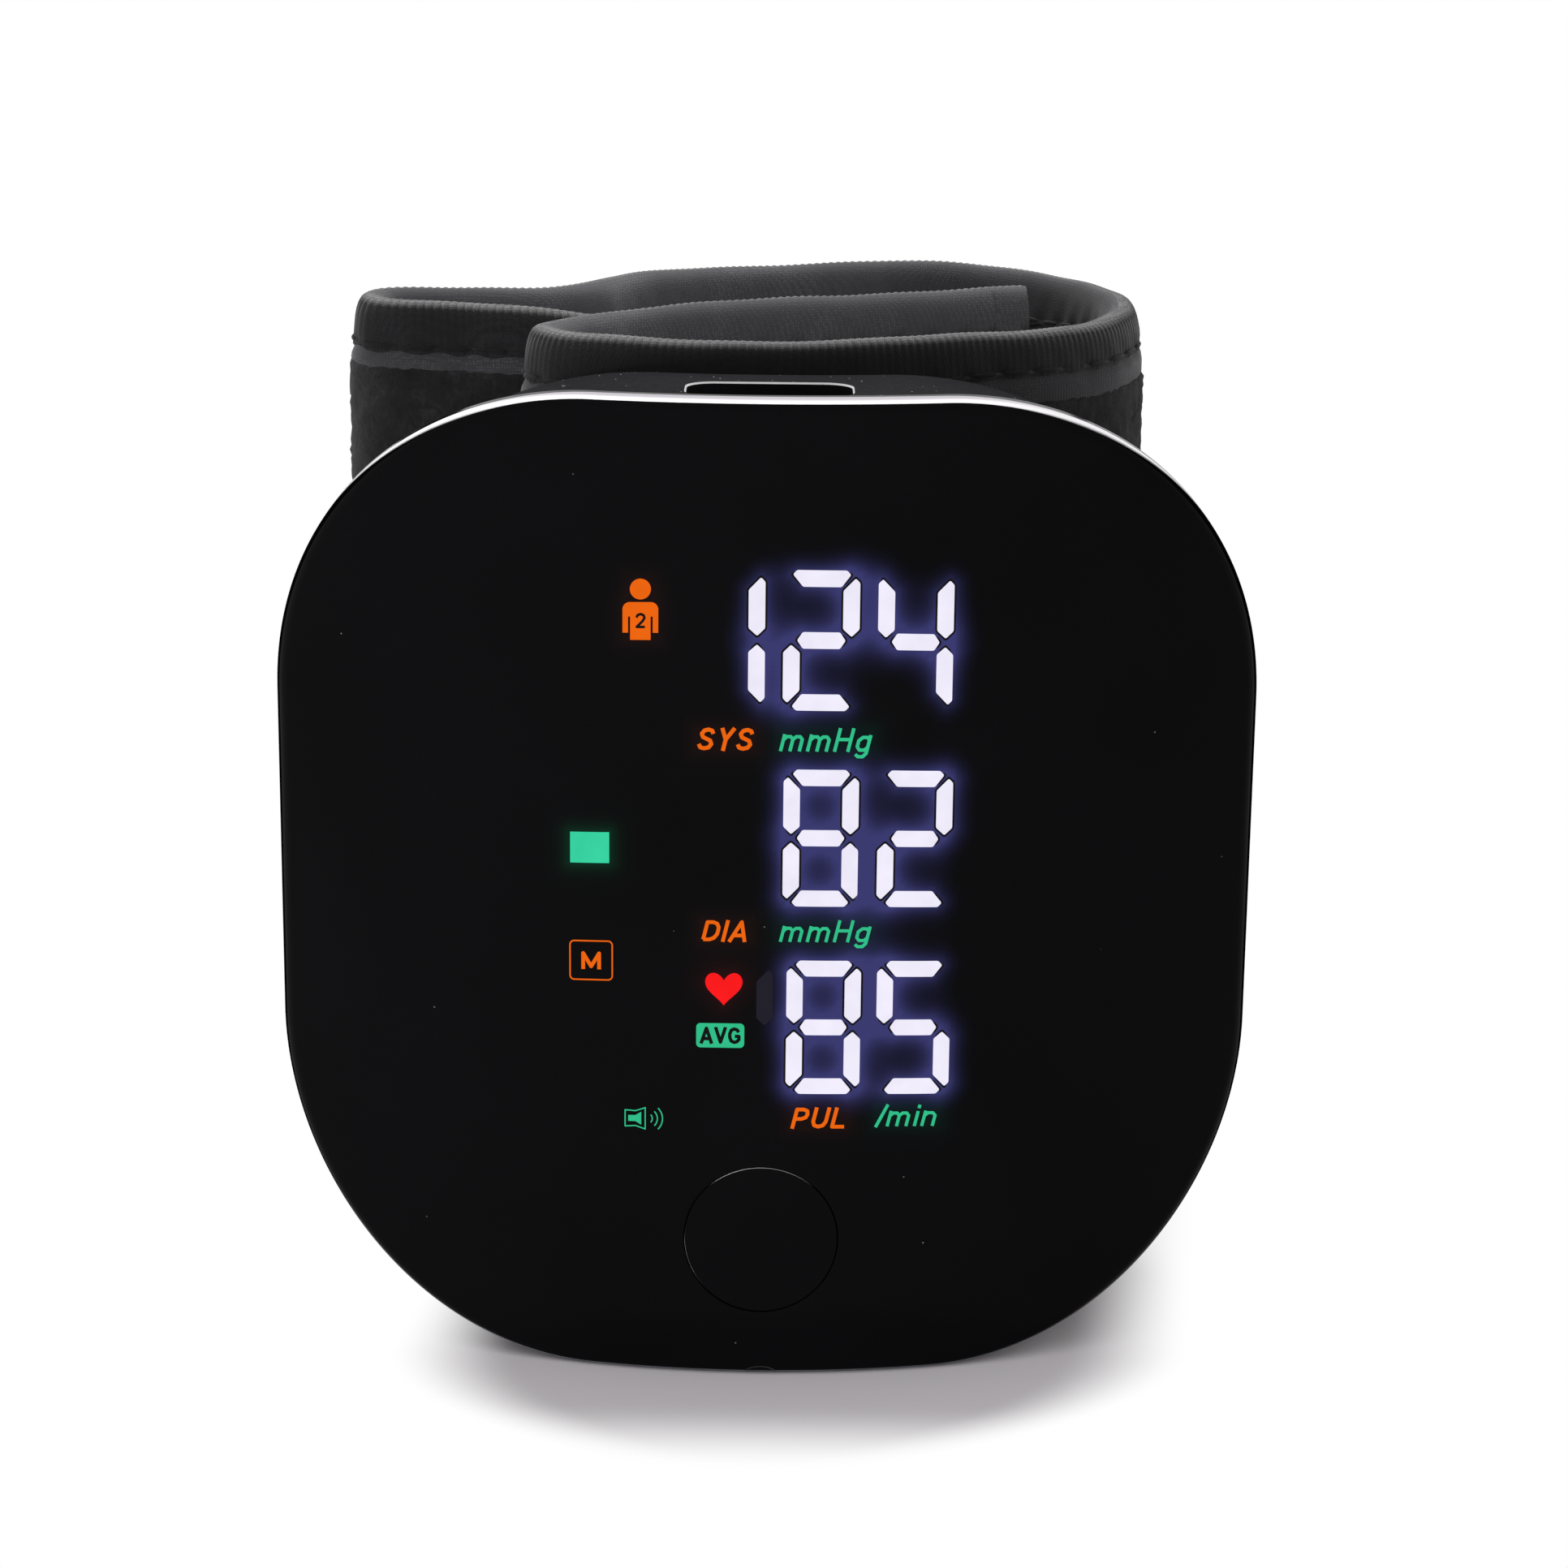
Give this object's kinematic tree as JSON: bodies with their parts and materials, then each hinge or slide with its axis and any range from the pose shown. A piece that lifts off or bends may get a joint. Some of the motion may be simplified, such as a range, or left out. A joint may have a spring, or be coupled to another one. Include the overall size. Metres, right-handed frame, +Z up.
{
  "type": "wrist blood pressure monitor",
  "caption": "Curved rounded-square monitor with a display, start button and charging socket, on a wrap-round wrist cuff whose strap folds back and closes on its short wing.",
  "frame": {"origin": "under the middle of the object, at the level of the cuff's lower edge", "axes": "+Z up along the cuff's axis, face and display towards -Y, +X to the right of someone looking at the face"},
  "size_m": [0.07, 0.0738, 0.0706],
  "materials": {
    "lens_black": "polished",
    "case_grey": "fine grain",
    "button_black": "polished",
    "board_green": "coated",
    "component_black": "moulded",
    "battery_silver": "foil",
    "steel": "plated",
    "tube_clear": "silicone",
    "fitting_white": "moulded",
    "fabric_black": "brushed loop",
    "lining_grey": "smooth woven",
    "tape_black": "ribbed tape",
    "bladder_grey": "film"
  },
  "bodies": {
    "monitor": {"front_lens": "lens_black", "front_case": "case_grey", "rear_case": "case_grey", "case_screw_1": "steel", "case_screw_2": "steel", "case_screw_3": "steel", "case_screw_4": "steel", "switch_body": "component_black", "display_module": "component_black", "main_board": "board_green", "usb_shell": "steel", "usb_tongue": "component_black", "battery_pack": "battery_silver", "pump_motor": "steel", "pump_head": "component_black", "release_valve": "steel", "pressure_sensor": "component_black", "air_manifold": "fitting_white", "pump_tube": "tube_clear", "valve_tube": "tube_clear", "sensor_tube": "tube_clear", "speaker": "component_black", "cuff_mount_frame": "case_grey", "cuff_nozzle": "fitting_white", "cuff_outer_fabric": "fabric_black", "cuff_stiffener": "component_black", "air_bladder": "bladder_grey", "cuff_lining": "lining_grey", "cuff_upper_binding": "tape_black", "cuff_lower_binding": "tape_black", "cuff_loop_patch": "fabric_black"},
    "start_button": {"button_cap": "button_black", "switch_stem": "fitting_white"},
    "strap": {"strap_outer_fabric": "fabric_black", "strap_padding": "fabric_black", "strap_lining": "lining_grey", "strap_upper_binding": "tape_black", "strap_lower_binding": "tape_black", "strap_hook_patch": "fabric_black"}
  },
  "joints": [
    {"name": "button_press", "type": "slide", "parent": "monitor", "child": "start_button", "axis": [0, 1, 0], "range_m": [0, 0.0005], "stiffness_N_per_m": 400},
    {"name": "strap_opening", "type": "hinge", "parent": "monitor", "child": "strap", "pos_m": [0.02742, 0.00229, 0.0353], "axis": [0, 0, -1], "range_deg": [0, 90]}
  ]
}
